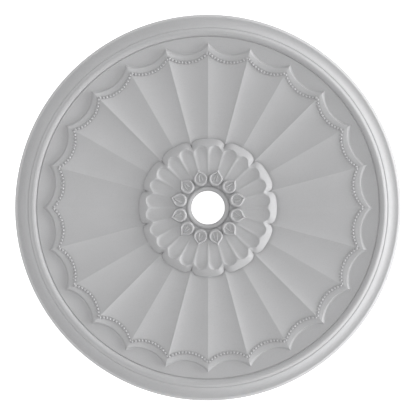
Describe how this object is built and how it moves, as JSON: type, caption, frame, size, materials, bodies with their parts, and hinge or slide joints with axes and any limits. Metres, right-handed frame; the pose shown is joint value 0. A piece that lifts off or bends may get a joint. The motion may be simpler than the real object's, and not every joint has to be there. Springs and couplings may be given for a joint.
{
  "type": "ceiling rose",
  "caption": "Round moulded ceiling rose with a stepped rim, a scalloped and fluted disc, a petalled flower and a plain centre hole for a light fitting.",
  "frame": {"origin": "centre of the flat back face, on the axis of the centre hole", "axes": "+Z out of the moulded face, square to the flat back, so the rose lies on its back and is turned over to go under a ceiling; +X and +Y run along two of the arrises between flutes, each over the middle of a petal"},
  "size_m": [1.0659, 1.066, 0.068],
  "materials": {
    "casting": "matt primer on a fine-cast surface"
  },
  "bodies": {
    "root": {"ceiling_rose": "casting"}
  },
  "joints": []
}
